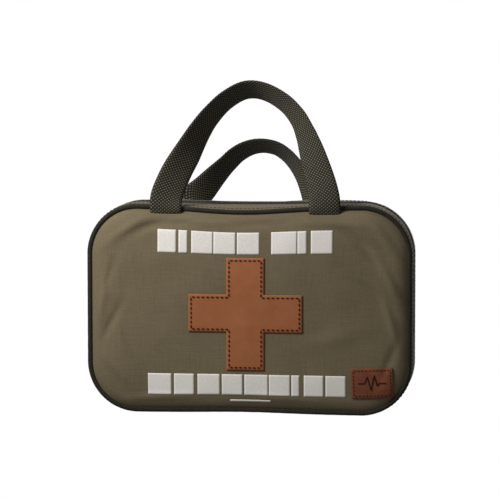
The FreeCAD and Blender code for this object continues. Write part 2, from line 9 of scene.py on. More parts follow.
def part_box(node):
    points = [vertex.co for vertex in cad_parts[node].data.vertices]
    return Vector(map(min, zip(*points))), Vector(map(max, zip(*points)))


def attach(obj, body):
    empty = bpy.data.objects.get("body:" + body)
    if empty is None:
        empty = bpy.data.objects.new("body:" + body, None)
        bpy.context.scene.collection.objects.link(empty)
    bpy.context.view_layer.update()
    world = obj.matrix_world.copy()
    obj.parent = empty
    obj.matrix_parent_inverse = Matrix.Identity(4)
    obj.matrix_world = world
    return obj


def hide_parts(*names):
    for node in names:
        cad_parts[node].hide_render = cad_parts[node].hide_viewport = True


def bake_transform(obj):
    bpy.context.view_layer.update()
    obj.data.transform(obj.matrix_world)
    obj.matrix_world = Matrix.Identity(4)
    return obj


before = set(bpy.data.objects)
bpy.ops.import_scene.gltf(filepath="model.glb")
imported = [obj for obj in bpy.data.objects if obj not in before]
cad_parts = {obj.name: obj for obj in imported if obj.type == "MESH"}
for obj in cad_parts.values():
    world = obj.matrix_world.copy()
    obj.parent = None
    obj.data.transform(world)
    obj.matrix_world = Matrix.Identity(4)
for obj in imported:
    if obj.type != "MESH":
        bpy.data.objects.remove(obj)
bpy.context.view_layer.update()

random.seed(7)
MM = 0.001

# The bag's outline and depths come from the frame's own pieces.
piping_low, piping_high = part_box("front_piping")
HALF_WIDTH, _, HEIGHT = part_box("front_gusset")[1]
CORNER = 40 * MM
PIPING = (piping_high.y - piping_low.y) / 2
PIPING_DEPTH = -(piping_high.y + piping_low.y) / 2
FACE = -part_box("front_panel")[0].y
LINING = -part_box("front_lining")[1].y
TAPE_EDGE = 5.2 * MM
ZIP_END = 6 * MM

SEAM = 2.6 * MM

# The sign of Y in each half of the bag.
SIGN = {"front": -1, "back": 1}

# How many points run round the bag in the pieces that follow its outline.
AROUND = 460

# How many sides a stitch or a zip tooth has.
HEX = 6


# ---------------------------------------------------------------- small tools

def nodes_of(material):
    material.use_nodes = True
    tree = material.node_tree
    return tree, tree.nodes["Principled BSDF"]


def colour_mix(tree, factor, first, second):
    """A colour between first and second, driven by a value socket."""
    ramp = tree.nodes.new("ShaderNodeValToRGB")
    ramp.color_ramp.elements[0].color = (*first, 1)
    ramp.color_ramp.elements[1].color = (*second, 1)
    ramp.color_ramp.elements[0].position = 0.3
    ramp.color_ramp.elements[1].position = 0.7
    tree.links.new(factor, ramp.inputs["Fac"])
    return ramp.outputs["Color"]


def coordinates(tree, scale, uv=None):
    """Object coordinates, or a named UV map, with a scale along each axis."""
    if uv:
        source = tree.nodes.new("ShaderNodeUVMap")
        source.uv_map = uv
        output = source.outputs["UV"]
    else:
        source = tree.nodes.new("ShaderNodeTexCoord")
        output = source.outputs["Object"]
    mapping = tree.nodes.new("ShaderNodeMapping")
    mapping.inputs["Scale"].default_value = scale
    tree.links.new(output, mapping.inputs["Vector"])
    return mapping.outputs["Vector"]


def noise_value(tree, scale, detail=3.0, uv=None):
    texture = tree.nodes.new("ShaderNodeTexNoise")
    texture.inputs["Scale"].default_value = 1.0
    texture.inputs["Detail"].default_value = detail
    texture.inputs["Roughness"].default_value = 0.55
    tree.links.new(coordinates(tree, scale, uv), texture.inputs["Vector"])
    return texture.outputs["Fac"]


def math_node(tree, operation, first, second):
    made = tree.nodes.new("ShaderNodeMath")
    made.operation = operation
    for socket, value in zip(made.inputs, (first, second)):
        if isinstance(value, (int, float)):
            socket.default_value = value
        else:
            tree.links.new(value, socket)
    return made.outputs[0]


def weave_value(tree, pitches, uv=None, axes=(0, 1)):
    """Over and under yarns: the product of two sine waves, as a height from 0 to 1."""
    split = tree.nodes.new("ShaderNodeSeparateXYZ")
    tree.links.new(coordinates(tree, (1, 1, 1), uv), split.inputs[0])
    waves = []
    for axis, pitch in zip(axes, pitches):
        turn = math_node(tree, "MULTIPLY", split.outputs[axis], math.pi / pitch)
        waves.append(math_node(tree, "SINE", turn, 0))
    product = math_node(tree, "MULTIPLY", waves[0], waves[1])
    half = math_node(tree, "MULTIPLY", product, 0.5)
    return math_node(tree, "ADD", half, 0.5)


def bump(tree, shader, height, distance, strength=1.0, below=None):
    made = tree.nodes.new("ShaderNodeBump")
    made.inputs["Strength"].default_value = strength
    made.inputs["Distance"].default_value = distance
    tree.links.new(height, made.inputs["Height"])
    if below:
        tree.links.new(below.outputs["Normal"], made.inputs["Normal"])
    tree.links.new(made.outputs["Normal"], shader.inputs["Normal"])
    return made


def cloth(name, dark, light, streak=(60, 1100), pitch=0.45 * MM, depth=0.12 * MM, sheen=0.04,
          roughness=0.85):
    """A plain woven cloth: uneven yarns along three axes, a fine weave, and soft blotches."""
    material = bpy.data.materials.new(name)
    tree, shader = nodes_of(material)
    long, fine = streak
    along = [noise_value(tree, scale, 4.0) for scale in
             ((long, fine, fine), (fine, fine, long), (fine, long, fine))]
    yarns = math_node(tree, "ADD", along[0], along[1])
    yarns = math_node(tree, "ADD", yarns, along[2])
    yarns = math_node(tree, "MULTIPLY", yarns, 1 / 3)
    blotch = noise_value(tree, (14, 14, 14), 3.0)
    worn = math_node(tree, "MULTIPLY", blotch, 0.35)
    mix = math_node(tree, "ADD", math_node(tree, "MULTIPLY", yarns, 0.9), worn)
    mix = math_node(tree, "SUBTRACT", mix, 0.12)
    tree.links.new(colour_mix(tree, mix, dark, light), shader.inputs["Base Color"])
    fine_weave = weave_value(tree, (pitch, pitch), axes=(0, 2))
    first = bump(tree, shader, fine_weave, depth * 0.5, 0.5)
    bump(tree, shader, yarns, depth * 3, 0.9, below=first)
    shader.inputs["Roughness"].default_value = roughness
    shader.inputs["Sheen Weight"].default_value = sheen
    shader.inputs["Specular IOR Level"].default_value = 0.08
    return material


def webbing(name, dark, light):
    """Basket-weave strap webbing, measured in metres across and along the strap on its UV map."""
    material = bpy.data.materials.new(name)
    tree, shader = nodes_of(material)
    rows = weave_value(tree, (1.5 * MM, 1.25 * MM), uv="weave")
    grain = noise_value(tree, (900, 240, 1), 3.0, uv="weave")
    # The colour runs from dark in the weave's hollows to light on its crests: painted shade and painted
    # highlight. The grain's streaks are the yarn's own.
    crest_highlight = math_node(tree, "POWER", rows, 2.2)
    crest_highlight_and_grain = math_node(tree, "MULTIPLY", crest_highlight, math_node(tree, "ADD", grain, 0.45))
    tree.links.new(colour_mix(tree, crest_highlight_and_grain, dark, light), shader.inputs["Base Color"])
    first = bump(tree, shader, rows, 0.35 * MM, 0.9)
    bump(tree, shader, grain, 0.15 * MM, 0.5, below=first)
    shader.inputs["Roughness"].default_value = 0.6
    shader.inputs["Sheen Weight"].default_value = 0.03
    shader.inputs["Specular IOR Level"].default_value = 0.12
    return material


def leather(name, dark, light):
    """Smooth waxed leather: a soft cloud of colour over small pores and finer cells."""
    material = bpy.data.materials.new(name)
    tree, shader = nodes_of(material)
    cloud = noise_value(tree, (130, 130, 130), 6.0)
    tree.links.new(colour_mix(tree, cloud, dark, light), shader.inputs["Base Color"])
    cells = tree.nodes.new("ShaderNodeTexVoronoi")
    cells.feature = "DISTANCE_TO_EDGE"
    cells.inputs["Scale"].default_value = 1.0
    tree.links.new(coordinates(tree, (1300, 1300, 1300)), cells.inputs["Vector"])
    pores = noise_value(tree, (420, 420, 420), 6.0)
    first = bump(tree, shader, cells.outputs["Distance"], 0.08 * MM, 0.5)
    bump(tree, shader, pores, 0.2 * MM, 0.5, below=first)
    shader.inputs["Roughness"].default_value = 0.62
    shader.inputs["Specular IOR Level"].default_value = 0.1
    return material


def plain(name, dark, light, roughness=0.5, metallic=0.0, grain=(250, 250, 250), depth=0.05 * MM,
          alpha=1.0, coat=0.0):
    """Plastic, film, metal, ink or card: a slightly uneven colour over a fine grain."""
    material = bpy.data.materials.new(name)
    tree, shader = nodes_of(material)
    cloud = noise_value(tree, grain, 4.0)
    tree.links.new(colour_mix(tree, cloud, dark, light), shader.inputs["Base Color"])
    bump(tree, shader, cloud, depth, 0.6)
    shader.inputs["Roughness"].default_value = roughness
    shader.inputs["Metallic"].default_value = metallic
    shader.inputs["Alpha"].default_value = alpha
    shader.inputs["Coat Weight"].default_value = coat
    return material


CANVAS = cloth("canvas_olive", (0.098, 0.077, 0.044), (0.148, 0.119, 0.073), depth=0.14 * MM)
# The panel's canvas made darker for the band round the edge and the strip under the fold: painted shade.
SHADED_CANVAS = cloth("canvas_olive_painted_shade", (0.070, 0.057, 0.034), (0.118, 0.097, 0.060), depth=0.12 * MM)
PIPE = cloth("piping_black", (0.008, 0.007, 0.005), (0.030, 0.027, 0.019), pitch=0.5 * MM)
WEB = webbing("webbing_dark", (0.018, 0.0165, 0.0115), (0.165, 0.150, 0.102))
LEATHER = leather("leather_brown", (0.236, 0.082, 0.032), (0.268, 0.094, 0.039))
LEATHER_EDGE = leather("leather_edge", (0.20, 0.085, 0.035), (0.28, 0.13, 0.06))
LABEL = leather("leather_label", (0.125, 0.040, 0.020), (0.180, 0.060, 0.030))
THREAD = cloth("thread_dark", (0.007, 0.005, 0.004), (0.028, 0.016, 0.011), streak=(400, 3000))
INK = plain("print_white", (0.54, 0.51, 0.47), (0.63, 0.60, 0.55), 0.8, grain=(900, 900, 900),
            depth=0.012 * MM)
LINER = cloth("lining_grey", (0.05, 0.05, 0.046), (0.10, 0.10, 0.092), depth=0.06 * MM, sheen=0.1,
              roughness=0.6)
TAPE = cloth("zip_tape", (0.010, 0.010, 0.008), (0.036, 0.034, 0.028), pitch=0.6 * MM)
COIL = plain("zip_coil", (0.008, 0.008, 0.007), (0.026, 0.025, 0.022), 0.6)
METAL = plain("zip_metal", (0.06, 0.06, 0.058), (0.13, 0.126, 0.12), 0.34, metallic=0.8)
ELASTIC = cloth("elastic_black", (0.008, 0.008, 0.008), (0.04, 0.04, 0.038), pitch=1.1 * MM,
                depth=0.3 * MM)
NET = plain("mesh_black", (0.015, 0.015, 0.015), (0.045, 0.045, 0.042), 0.6)
VINYL = plain("clear_vinyl", (0.85, 0.9, 0.9), (0.95, 0.97, 0.97), 0.12, alpha=0.28, coat=0.3)
GAUZE = cloth("bandage_white", (0.62, 0.60, 0.54), (0.82, 0.80, 0.75), pitch=1.0 * MM,
              depth=0.2 * MM)
CREPE = cloth("bandage_tan", (0.42, 0.27, 0.16), (0.62, 0.44, 0.29), pitch=0.9 * MM, depth=0.3 * MM)
PLASTER = plain("plaster_tan", (0.50, 0.33, 0.21), (0.60, 0.41, 0.27), 0.5, grain=(60, 60, 60))
WHITE_FILM = plain("wrapper_white", (0.68, 0.68, 0.66), (0.82, 0.82, 0.80), 0.38)
BLUE_FILM = plain("wrapper_blue", (0.05, 0.14, 0.30), (0.09, 0.22, 0.42), 0.35)
SILVER = plain("foil_silver", (0.62, 0.61, 0.58), (0.85, 0.84, 0.80), 0.28, metallic=0.5,
               grain=(120, 120, 60), depth=1.2 * MM)
CLOTH_TAPE = cloth("tape_white", (0.62, 0.61, 0.57), (0.80, 0.79, 0.75), pitch=0.5 * MM)
CARD = plain("card_core", (0.35, 0.25, 0.15), (0.50, 0.38, 0.24), 0.8)
STEEL = plain("steel", (0.42, 0.42, 0.43), (0.60, 0.60, 0.61), 0.28, metallic=1.0,
              grain=(60, 60, 1500))


def make(name, vertices, faces, material, uv=None):
    """A mesh object from its vertices and faces. uv holds one pair for each vertex."""
    mesh = bpy.data.meshes.new(name)
    mesh.from_pydata([tuple(v) for v in vertices], [], faces)
    mesh.materials.append(material)
    mesh.polygons.foreach_set("use_smooth", [True] * len(mesh.polygons))
    if uv is not None:
        layer = mesh.uv_layers.new(name="weave")
        for loop in mesh.loops:
            layer.data[loop.index].uv = uv[loop.vertex_index]
    mesh.validate()
    made = bpy.data.objects.new(name, mesh)
    bpy.context.scene.collection.objects.link(made)
    return made


def lattice_faces(rows, columns, close_rows=False, close_columns=False):
    """The quads of a lattice of rows by columns, closed into a loop either way if asked."""
    faces = []
    for i in range(rows if close_rows else rows - 1):
        for j in range(columns if close_columns else columns - 1):
            a = i * columns + j
            b = i * columns + (j + 1) % columns
            c = ((i + 1) % rows) * columns + (j + 1) % columns
            d = ((i + 1) % rows) * columns + j
            faces.append((a, b, c, d))
    return faces


def thicken(piece, thickness, offset=-1.0):
    """Gives a surface its thickness: inward, or on both sides where offset is 0."""
    modifier = piece.modifiers.new("thickness", "SOLIDIFY")
    modifier.thickness = thickness
    modifier.offset = offset


def soften(piece, width):
    """Rounds a piece's sharp edges."""
    bevel = piece.modifiers.new("edges", "BEVEL")
    bevel.width = width
    bevel.segments = 2
    bevel.limit_method = "ANGLE"


def settle(piece, body, slot, *nodes):
    """Puts a finished piece on its body, in the place of its CAD nodes."""
    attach(piece, body)
    if nodes:
        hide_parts(*nodes)


def join(pieces, name):
    """Joins meshes that are one physical piece, or a group of identical ones."""
    bpy.ops.object.select_all(action="DESELECT")
    for piece in pieces:
        piece.select_set(True)
    bpy.context.view_layer.objects.active = pieces[0]
    bpy.ops.object.join()
    pieces[0].name = name
    return pieces[0]


def bead_faces(base, rings, flip=False):
    """The faces of a closed six-sided bead whose rings of points start at base."""
    faces = []
    for i in range(rings - 1):
        for j in range(HEX):
            a = base + i * HEX + j
            b = base + i * HEX + (j + 1) % HEX
            faces.append((a, a + HEX, b + HEX, b) if flip else (a, b, b + HEX, a + HEX))
    near = tuple(base + j for j in range(HEX))
    far = tuple(base + (rings - 1) * HEX + j for j in range(HEX))
    return faces + ([near, far[::-1]] if flip else [near[::-1], far])


# ---------------------------------------------------------------- the bag's form

def outline(count, inset=0.0):
    """Points evenly round the bag's outline from the middle of its base: x, z, and outward nx, nz."""
    across = HALF_WIDTH - CORNER
    upright = HEIGHT - 2 * CORNER
    arc = CORNER * math.pi / 2
    total = 4 * across + 2 * upright + 4 * arc
    corners = [(across, CORNER, -90), (across, HEIGHT - CORNER, 0),
               (-across, HEIGHT - CORNER, 90), (-across, CORNER, 180)]
    runs = [across, arc, upright, arc, 2 * across, arc, upright, arc, across]
    starts = [(0, 0), None, (HALF_WIDTH, CORNER), None, (across, HEIGHT), None,
              (-HALF_WIDTH, HEIGHT - CORNER), None, (-across, 0)]
    ways = [(1, 0), None, (0, 1), None, (-1, 0), None, (0, -1), None, (1, 0)]
    points = []
    for k in range(count):
        along = total * k / count
        part = 0
        while along > runs[part] and part < 8:
            along -= runs[part]
            part += 1
        if part % 2:
            x, z, begin = corners[part // 2]
            turn = math.radians(begin) + along / CORNER
            normal = (math.cos(turn), math.sin(turn))
            point = (x + CORNER * normal[0], z + CORNER * normal[1])
        else:
            way = ways[part]
            point = (starts[part][0] + way[0] * along, starts[part][1] + way[1] * along)
            normal = (way[1], -way[0])
        points.append((point[0] - inset * normal[0], point[1] - inset * normal[1], *normal))
    return points


def sag(x, z):
    """How far the soft top edge drops between the handles, and how far the base lifts."""
    top = max(0.0, (z / HEIGHT - 0.45) / 0.55)
    low = max(0.0, 1 - z / (0.3 * HEIGHT))
    drop = 4.6 * MM * math.exp(-((x + 6 * MM) / (50 * MM)) ** 2) * min(top, 1.1) ** 2
    lift = 1.2 * MM * math.exp(-((x + 3 * MM) / (45 * MM)) ** 2) * low ** 2
    return lift - drop


def settled(x, y, z):
    """A point of the soft shell as it stands: the top edge sags, and the back half draws in."""
    back = min(1.0, max(0.0, (y + 4 * MM) / (42 * MM)))
    back = back * back * (3 - 2 * back)
    corner = abs(x / HALF_WIDTH) ** 3 * max(0.0, (z - 0.4 * HEIGHT) / (0.6 * HEIGHT)) ** 2
    drawn = back * (4.5 * MM + 4.0 * MM * corner)
    deep = 0.15 + 0.85 * min(1.0, abs(y) / PIPING_DEPTH) ** 1.3
    return (x - drawn * (x / HALF_WIDTH), y, z + deep * sag(x, z) - back * 4.5 * MM * corner)


def edge_distance(x, z):
    """How far a point on the panel is in from the bag's outline."""
    qx = abs(x) - (HALF_WIDTH - CORNER)
    qz = abs(z - HEIGHT / 2) - (HEIGHT / 2 - CORNER)
    outside = math.hypot(max(qx, 0), max(qz, 0))
    return CORNER - outside - min(max(qx, qz), 0)


# Creases in the canvas: centre x and z, angle, half length, half width, height.
CREASES = [
    (-116, 88, 80, 20, 3.0, 1.9), (-108, 72, 62, 16, 2.8, -1.6), (-101, 62, 104, 15, 3.4, 1.3),
    (-110, 108, 70, 16, 2.8, -1.2), (106, 140, -52, 22, 3.6, 1.9), (98, 124, -46, 28, 3.8, -1.7),
    (110, 108, -60, 26, 3.6, 2.0), (101, 94, -40, 24, 4.0, -1.6), (112, 74, -72, 20, 3.2, 1.6),
    (84, 139, -28, 22, 4.0, -1.2), (-96, 145, 35, 22, 4.0, 1.5), (-78, 148, 24, 20, 3.4, -1.1),
    (-58, 151, 8, 24, 3.4, -1.0), (62, 152, -6, 26, 3.4, 1.0), (66, 60, 14, 26, 6.0, 0.8),
    (-74, 12, 4, 28, 3.4, 1.2), (30, 12, -3, 32, 3.6, 1.0), (-36, 154, -4, 22, 3.4, 1.1),
    (6, 153, 3, 28, 3.6, -1.3), (-104, 34, -50, 18, 3.4, 1.2), (112, 46, 66, 18, 3.2, -1.2),
]


def crease_height(x, z):
    """How far the creases raise the canvas at a point."""
    height = 0.0
    for cx, cz, angle, long, wide, high in CREASES:
        turn = math.radians(angle)
        dx = x / MM - cx
        dz = z / MM - cz
        along = dx * math.cos(turn) + dz * math.sin(turn)
        across = -dx * math.sin(turn) + dz * math.cos(turn)
        height += high * math.exp(-(along / long) ** 2 - (across / wide) ** 2)
    return height * MM


def panel_depth(x, z, half="front"):
    """How far the padded panel's surface stands out from the zip's plane."""
    inside = edge_distance(x, z)
    edge = PIPING_DEPTH - 0.2 * MM
    rise = FACE - edge + 0.1 * MM
    form = edge + rise * (1 - math.exp(-max(inside - 3.4 * MM, 0) / (5.0 * MM)))
    middle = 1.7 * MM * min(1, max(inside, 0) / (70 * MM)) ** 0.8
    flip = 1 if half == "front" else -1
    seed = 0 if half == "front" else 31
    soft = noise.noise(Vector((x * 17 + seed, z * 17, 3.1))) * 1.3
    soft += noise.noise(Vector((x * 45, z * 45 + seed, 7.7))) * 0.5
    calm = min(1, max(0, inside - 3 * MM) / (12 * MM))
    return form + middle + calm * (soft * MM + crease_height(flip * x, z))


def ring_sheet(name, inset, rings, ease, depth, material, flip):
    """A cloth that fills the outline, as rings that shrink to its middle. depth gives y from x, z."""
    middle = HEIGHT / 2
    vertices = []
    for r in range(rings):
        share = 1 - (r / rings) ** ease
        for x, z, _, _ in outline(AROUND, inset):
            px = x * share
            pz = middle + (z - middle) * share
            vertices.append(settled(px, depth(px, pz), pz))
    faces = lattice_faces(rings, AROUND, close_columns=True)
    vertices.append(settled(0, depth(0, middle), middle))
    last = (rings - 1) * AROUND
    faces += [(last + j, last + (j + 1) % AROUND, len(vertices) - 1) for j in range(AROUND)]
    if flip:
        faces = [face[::-1] for face in faces]
    return make(name, vertices, faces, material)


def shell_panel(half):
    """The padded canvas face of one half."""
    piece = ring_sheet(half + "_panel_cover", SEAM, 64, 1.12,
                       lambda x, z: SIGN[half] * panel_depth(x, z, half), CANVAS, half == "back")
    thicken(piece, 1.2 * MM)
    settle(piece, half + "_half", "canvas_olive", half + "_panel", half + "_foam")


def shell_gusset(half):
    """The canvas band round the edge: full and a little creased, with a turned edge by the zip."""
    sign = SIGN[half]
    rows = 22
    vertices = []
    for i in range(rows):
        t = i / (rows - 1)
        for x, z, nx, nz in outline(AROUND):
            near = TAPE_EDGE if z > ZIP_END else 1.0 * MM
            depth = (PIPING_DEPTH + 0.4 * MM) * (1 - t) + near * t
            seed = 0 if half == "front" else 9
            ripple = noise.noise(Vector((x * 30 + seed, depth * 40, z * 30))) * 0.8 * MM
            ripple += noise.noise(Vector((x * 95, depth * 24 + seed, z * 95))) * 0.35 * MM
            out = -1.0 * MM + 1.5 * MM * math.sin(math.pi * min(1, t * 1.25)) ** 0.7
            ground = min(1.0, max(0.0, z / (12 * MM)))
            out = (out + ripple * math.sin(math.pi * t)) * (0.25 + 0.75 * ground)
            out = min(out, 0.3 * MM) if ground < 1 else out
            vertices.append(settled(x + out * nx, sign * depth, max(z + out * nz, 0)))
    faces = lattice_faces(rows, AROUND, close_columns=True)
    if sign < 0:
        faces = [face[::-1] for face in faces]
    # The band takes the darker copy of the canvas: painted shade.
    piece = make(half + "_gusset_band", vertices, faces, SHADED_CANVAS)
    thicken(piece, 1.0 * MM)
    settle(piece, half + "_half", "canvas_olive", half + "_gusset")


def ring_tube(name, inset, depth, radius, wobble, segments=16):
    """A round cord in piping cloth that follows the outline."""
    vertices = []
    for k, (x, z, nx, nz) in enumerate(outline(AROUND, inset)):
        r = radius * (1 + wobble * noise.noise(Vector((k * 0.31, 0, 0))))
        for j in range(segments):
            turn = 2 * math.pi * j / segments
            out = r * math.cos(turn)
            vertices.append(settled(x + out * nx, depth + r * math.sin(turn), z + out * nz))
    faces = lattice_faces(AROUND, segments, close_rows=True, close_columns=True)
    return make(name, vertices, [face[::-1] for face in faces], PIPE)


def piping(half):
    """The piping cord of one half, and the lip by which it is sewn in."""
    sign = SIGN[half]
    cord = ring_tube(half + "_piping_cord", PIPING, sign * PIPING_DEPTH, PIPING, 0.05)
    flange = []
    for inset, depth in ((1.4, -0.4), (2.6, -1.0), (4.0, -1.0)):
        for x, z, _, _ in outline(AROUND, inset * MM):
            flange.append(settled(x, sign * (PIPING_DEPTH + depth * MM), z))
    lip = make(half + "_piping_lip", flange, lattice_faces(3, AROUND, close_columns=True), PIPE)
    thicken(lip, 0.6 * MM)
    joined = join([cord, lip], half + "_piping_cord")
    settle(joined, half + "_half", "piping_black", half + "_piping")


def seam_stitches(half):
    """Topstitching on the gusset: one row by the piping and one by the zip."""
    sign = SIGN[half]
    vertices = []
    faces = []
    for depth, out in ((PIPING_DEPTH - 4.5 * MM, 0.15 * MM), (TAPE_EDGE + 1.8 * MM, 0.0)):
        points = outline(AROUND)
        for k in range(0, AROUND, 2):
            x, z, nx, nz = points[k]
            if z < ZIP_END:
                continue
            tx, tz = -nz, nx
            base = len(vertices)
            for a, b, c in ((-1, -1, 0), (1, -1, 0), (1, 1, 0), (-1, 1, 0),
                            (-0.7, 0, 1), (0.7, 0, 1)):
                long = a * 1.05 * MM
                lift = out + c * 0.32 * MM
                vertices.append(settled(x + long * tx + lift * nx, sign * (depth + b * 0.28 * MM),
                                        z + long * tz + lift * nz))
            faces += [(base, base + 1, base + 5, base + 4), (base + 3, base + 4, base + 5, base + 2),
                      (base, base + 4, base + 3), (base + 1, base + 2, base + 5),
                      (base, base + 3, base + 2, base + 1)]
    piece = make(half + "_topstitching", vertices, faces, THREAD)
    settle(piece, half + "_half", "thread_dark")


def base_fold():
    """The strip across the fold under the bag."""
    vertices = []
    rows = 15
    points = [p for p in outline(AROUND, 1.5 * MM) if p[1] < ZIP_END + 1.5 * MM]
    points.sort(key=lambda p: p[0])
    for i in range(rows):
        y = (i / (rows - 1) - 0.5) * 22 * MM
        for x, z, _, _ in points:
            vertices.append((x, y, z + 0.3 * MM))
    # The strip takes the darker copy of the canvas: painted shade.
    piece = make("base_fold_strip", vertices, lattice_faces(rows, len(points)), SHADED_CANVAS)
    thicken(piece, 0.8 * MM, 1.0)
    bpy.context.view_layer.objects.active = piece
    bpy.ops.object.modifier_apply(modifier="thickness")
    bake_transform(piece)
    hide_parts("base_fold_binding")


# ---------------------------------------------------------------- zip

def zip_side(half):
    """The tape and the teeth of one half of the zip, up one side, over the top and down."""
    sign = SIGN[half]
    points = [p for p in outline(AROUND, 0.5 * MM) if p[1] > ZIP_END]
    rows = ((TAPE_EDGE + 1.5 * MM, 1.0), (TAPE_EDGE - 0.6 * MM, 0.4), (3.6 * MM, 0.2),
            (2.2 * MM, 0.1), (1.5 * MM, 0.5))
    vertices = []
    for depth, inward in rows:
        for x, z, nx, nz in points:
            vertices.append(settled(x - inward * MM * nx, sign * depth, z - inward * MM * nz))
    tape = make(half + "_tape_cloth", vertices, lattice_faces(len(rows), len(points)), TAPE)
    thicken(tape, 0.5 * MM)
    settle(tape, half + "_half", "zip_tape", half + "_zip_tape")
    teeth = []
    faces = []
    fine = [p for p in outline(780, 0.1 * MM) if p[1] > ZIP_END]
    # A tooth's rings: how far each is from the zip's middle in millimetres, and how fat it is.
    tooth = ((2.5, 0.45), (2.1, 0.9), (1.2, 1.0), (0.1, 0.9), (-0.5, 1.25), (-0.9, 0.8))
    lean = 0 if half == "front" else 1
    for x, z, nx, nz in fine[lean::2]:
        tx, tz = -nz, nx
        base = len(teeth)
        for depth, fat in tooth:
            for j in range(HEX):
                turn = math.pi / 3 * j
                along = 0.42 * MM * fat * math.cos(turn)
                out = 0.72 * MM * fat * math.sin(turn)
                teeth.append(settled(x + along * tx + out * nx, sign * depth * MM,
                                     z + along * tz + out * nz))
        faces += bead_faces(base, len(tooth))
    coil = make(half + "_teeth", teeth, faces, COIL)
    settle(coil, half + "_half", "zip_coil", half + "_zip_coil")


# ---------------------------------------------------------------- handles

def smooth_line(points, count):
    """Points along a smooth curve through given points."""
    points = [Vector(p) for p in points]
    ends = [points[0] * 2 - points[1]] + points + [points[-1] * 2 - points[-2]]
    made = []
    for k in range(count):
        at = k / (count - 1) * (len(points) - 1)
        i = min(int(at), len(points) - 2)
        t = at - i
        a, b, c, d = ends[i:i + 4]
        made.append(0.5 * (2 * b + (c - a) * t + (2 * a - 5 * b + 4 * c - d) * t * t
                           + (3 * b - a - 3 * c + d) * t ** 3))
    return made


def strap(name, line, turned, width, thickness):
    """A flat strap along a line. turned gives the direction of its width at each point."""
    rows = []
    uv = []
    across = 12
    travelled = 0.0
    for k, point in enumerate(line):
        if k:
            travelled += (point - line[k - 1]).length
        run = (line[min(k + 1, len(line) - 1)] - line[max(k - 1, 0)]).normalized()
        wide = turned[k] - run * turned[k].dot(run)
        wide.normalize()
        face = run.cross(wide)
        for side in (1, -1):
            for j in range(across + 1):
                share = (j / across - 0.5) * side
                edge = 1 - abs(2 * share) ** 6 * 0.75
                rows.append(point + wide * (share * width) + face * (side * thickness / 2 * edge))
                uv.append((share * width, travelled))
    ring = 2 * (across + 1)
    faces = lattice_faces(len(line), ring, close_columns=True)
    faces.append(tuple(range(ring))[::-1])
    last = (len(line) - 1) * ring
    faces.append(tuple(range(last, last + ring)))
    return make(name, rows, faces, WEB, uv)


def strap_turns(count, twist, spread):
    """The width's direction along a handle: level at the feet, and rolled forward at the top."""
    made = []
    for k in range(count):
        share = k / (count - 1)
        spin = math.pi * share
        flat = Vector((-math.cos(spin), 0, math.sin(spin)))
        roll = math.radians(twist) * abs(math.sin(spin)) ** spread
        made.append(flat * math.cos(roll) + Vector((0, -1, 0)) * math.sin(roll))
    return made


# The webbing's width and thickness.
WIDE = 25 * MM
THICK = 1.7 * MM

# The front handle's line: x, y and height, in millimetres, from foot to foot.
FRONT_LINE = [
    (-65, -38.2, 158), (-65, -39.9, 163), (-64.2, -40.8, 170), (-61.5, -41.4, 178), (-55.5, -42, 191),
    (-48.5, -42.4, 203), (-43.5, -42.6, 212), (-37, -42.6, 223), (-29, -42.2, 234),
    (-17, -41.5, 246), (-2, -41, 254), (13, -41.2, 253), (28.5, -41.5, 244.5), (39, -41.8, 233),
    (45, -42, 221), (49, -42.2, 210), (53, -42, 197), (57.4, -41.6, 182), (59.6, -41, 171),
    (60, -39.9, 163), (60, -38.2, 158),
]
# The back handle bows back and its top falls forward again.
BACK_LINE = [
    (-55, 37.6, 157), (-55, 39.4, 161), (-53, 42, 165), (-47, 47, 171), (-41, 52, 178),
    (-35, 56, 185), (-28.5, 58, 192), (-21, 57, 199), (-11, 55, 204.5), (0, 54, 206.5),
    (11, 55, 204.5), (19.5, 57, 199), (26, 58, 192), (31, 57, 185), (35.5, 53, 178),
    (40, 47, 171), (43.6, 42, 165), (45, 39.4, 161), (45, 37.6, 157),
]


def handle(half, points, twist, spread):
    """A webbing handle, its feet on its half of the bag."""
    count = 150
    line = smooth_line([Vector(p) * MM for p in points], count)
    piece = strap(half + "_strap", line, strap_turns(count, twist, spread), WIDE, THICK)
    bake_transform(piece)
    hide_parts(half + "_handle", half + "_handle_anchors")


def build_bag():
    for half in ("front", "back"):
        shell_panel(half)
        shell_gusset(half)
        piping(half)
        seam_stitches(half)
        zip_side(half)
    base_fold()
    handle("front", FRONT_LINE, 55, 1.5)
    handle("back", BACK_LINE, 60, 0.55)


build_bag()


# ---------------------------------------------------------------- what is on the front

def on_panel(x, z, proud=0.0):
    """A point on the front panel's surface, standing proud of it."""
    return Vector((x, -panel_depth(x, z) - proud, z + sag(x, z)))


def patch(name, inside, low, high, step, proud, thickness, material, puff=0.0, rim=2.0 * MM):
    """A thin piece that lies on the front panel. inside says how far a point is in from its edge."""
    nx = round((high[0] - low[0]) / step)
    nz = round((high[1] - low[1]) / step)
    keep = {}
    vertices = []
    faces = []
    for i in range(nx):
        for j in range(nz):
            cx = low[0] + (i + 0.5) * step
            cz = low[1] + (j + 0.5) * step
            if inside(cx, cz) <= 0:
                continue
            corner = []
            for a, b in ((i, j), (i + 1, j), (i + 1, j + 1), (i, j + 1)):
                if (a, b) not in keep:
                    x = low[0] + a * step
                    z = low[1] + b * step
                    deep = min(max(inside(x, z), 0) / rim, 1)
                    rise = proud + puff * math.sqrt(1 - (1 - deep) ** 2)
                    keep[(a, b)] = len(vertices)
                    vertices.append(on_panel(x, z, rise))
                corner.append(keep[(a, b)])
            faces.append(tuple(corner))
    piece = make(name, vertices, faces, material)
    thicken(piece, thickness)
    return piece


